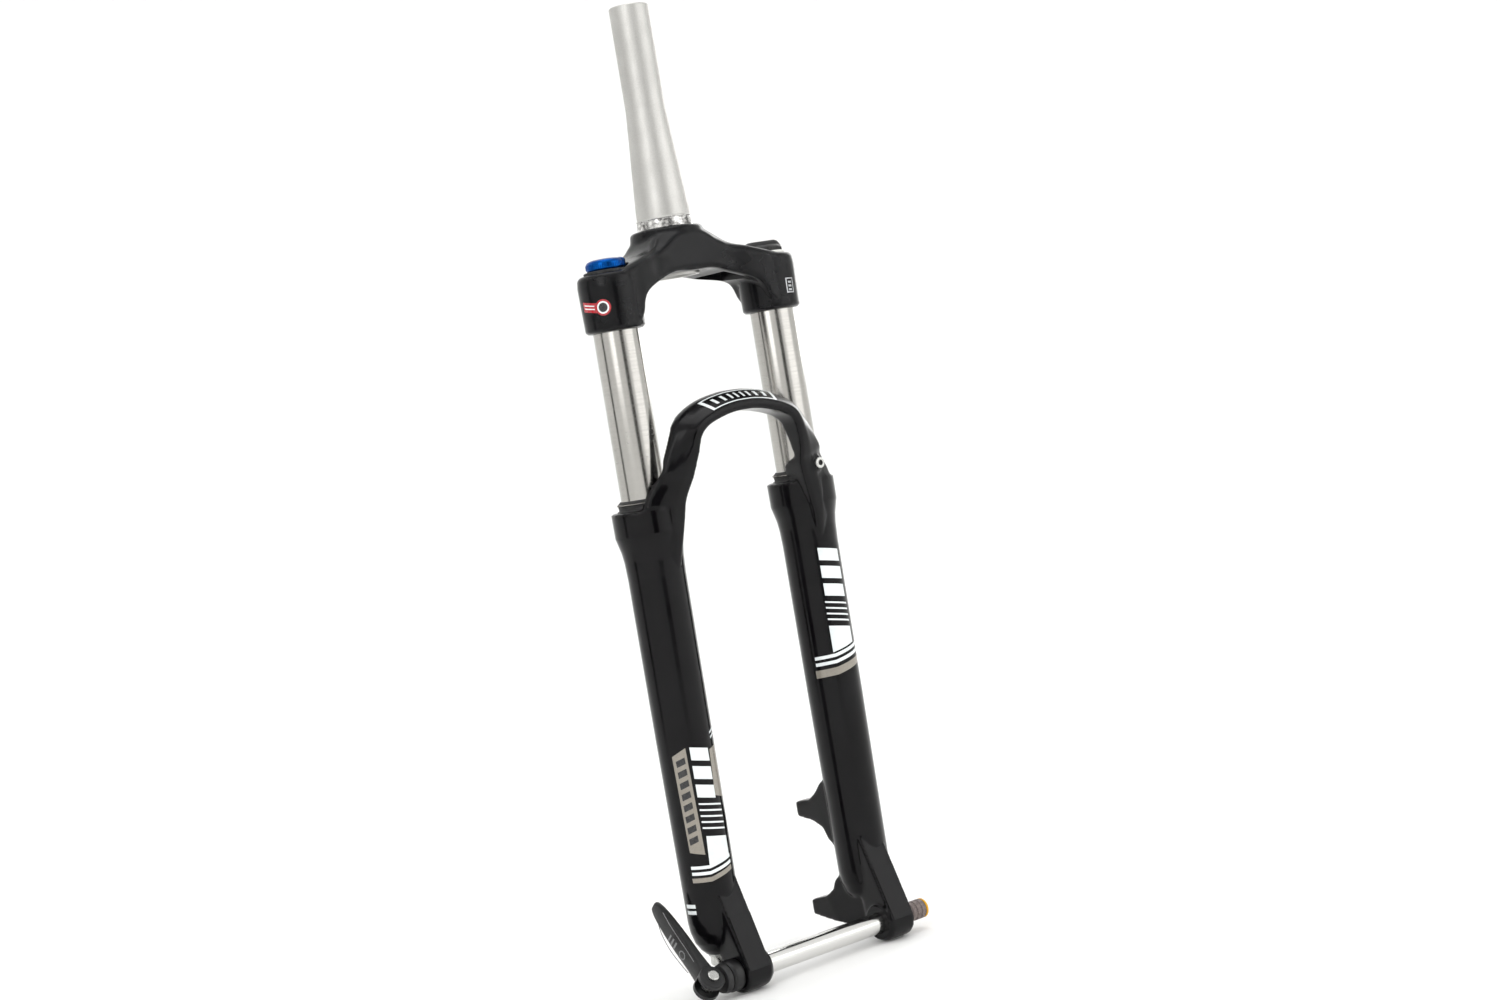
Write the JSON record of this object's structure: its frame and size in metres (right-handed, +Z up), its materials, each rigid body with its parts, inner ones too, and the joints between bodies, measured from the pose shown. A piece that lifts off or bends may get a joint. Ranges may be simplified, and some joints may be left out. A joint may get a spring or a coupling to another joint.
{
  "type": "bicycle suspension fork",
  "caption": "Telescopic bicycle suspension fork with tapered steerer, one-piece lower legs, post brake mount and quick-release through axle.",
  "frame": {"origin": "on the steerer's axis, on the plane where the crown race sits", "axes": "+Z up the steerer, -Y towards the front of the bicycle, +X towards the rider's left"},
  "size_m": [0.2118, 0.0885, 0.6915],
  "materials": {
    "bare_aluminium": "bead blasted",
    "gloss_black_paint": "gloss",
    "polished_steel": "polished",
    "dull_alloy": "machined",
    "blue_anodised": "anodised satin",
    "black_plastic": "matte",
    "satin_black": "satin",
    "black_rubber": "matte",
    "spring_steel": "dull",
    "bush_polymer": "matte",
    "oil_foam": "open cell",
    "white_acetal": "smooth",
    "brown_grey_collar": "anodised matte",
    "yellow_plastic": "smooth"
  },
  "bodies": {
    "uppers": {"steerer_tube": "bare_aluminium", "crown": "gloss_black_paint", "stanchion_left": "polished_steel", "stanchion_right": "polished_steel", "top_cap_left": "white_acetal", "top_cap_right": "black_plastic", "damper_body": "dull_alloy", "damper_seal_head": "dull_alloy", "spring_rod_guide": "dull_alloy", "top_out_bumper": "black_rubber", "coil_spring": "spring_steel"},
    "lockout": {"lockout_lever": "blue_anodised", "lockout_shaft": "dull_alloy", "lockout_valve": "dull_alloy"},
    "preload_adjuster": {"preload_knob": "black_plastic", "preload_spindle": "dull_alloy"},
    "spring_plunger": {"preload_plunger": "white_acetal"},
    "lowers": {"lower_legs": "gloss_black_paint", "upper_bush_left": "bush_polymer", "upper_bush_right": "bush_polymer", "lower_bush_left": "bush_polymer", "lower_bush_right": "bush_polymer", "dust_seal_left": "black_rubber", "dust_seal_right": "black_rubber", "garter_spring_left": "polished_steel", "garter_spring_right": "polished_steel", "foam_ring_left": "oil_foam", "foam_ring_right": "oil_foam", "spring_rod": "polished_steel", "spring_perch": "white_acetal", "bottom_bumper": "black_rubber", "damper_rod": "polished_steel", "damper_piston": "dull_alloy", "foot_bolt_left": "bare_aluminium", "foot_bolt_right": "bare_aluminium", "foot_washer_left": "dull_alloy", "foot_washer_right": "dull_alloy", "hose_guide_screw": "polished_steel"},
    "axle": {"axle_tube": "polished_steel", "axle_collar": "brown_grey_collar"},
    "skewer": {"draw_rod": "polished_steel", "axle_end_ring": "yellow_plastic", "cam_washer": "black_plastic"},
    "lever": {"cam_lever": "satin_black", "cam_pin": "polished_steel"}
  },
  "joints": [
    {"name": "travel", "type": "slide", "parent": "uppers", "child": "lowers", "axis": [0, 0, 1], "range_m": [0, 0.1], "stiffness_N_per_m": 6000, "springref_m": -0.012, "deforming": ["coil_spring"]},
    {"name": "lockout_turn", "type": "hinge", "parent": "uppers", "child": "lockout", "pos_m": [-0.07115, -0.017, -0.022], "axis": [0, 0, 1], "range_deg": [0, 90]},
    {"name": "preload_turn", "type": "hinge", "parent": "uppers", "child": "preload_adjuster", "pos_m": [0.07115, -0.017, -0.022], "axis": [0, 0, -1], "range_deg": [0, 1080]},
    {"name": "preload_slide", "type": "slide", "parent": "uppers", "child": "spring_plunger", "axis": [0, 0, -1], "range_m": [0, 0.0076]},
    {"name": "axle_slide", "type": "slide", "parent": "lowers", "child": "axle", "axis": [-1, 0, 0], "range_m": [0, 0.19]},
    {"name": "skewer_turn", "type": "hinge", "parent": "axle", "child": "skewer", "pos_m": [0, -0.041, -0.5176], "axis": [1, 0, 0], "continuous": true},
    {"name": "lever_cam", "type": "hinge", "parent": "skewer", "child": "lever", "pos_m": [-0.103, -0.041, -0.5176], "axis": [0, -0.7314, 0.682], "range_deg": [0, 165]}
  ],
  "couplings": [
    {"joint": "preload_slide", "follows": "preload_turn", "m_per_rad": 0.00039789}
  ]
}
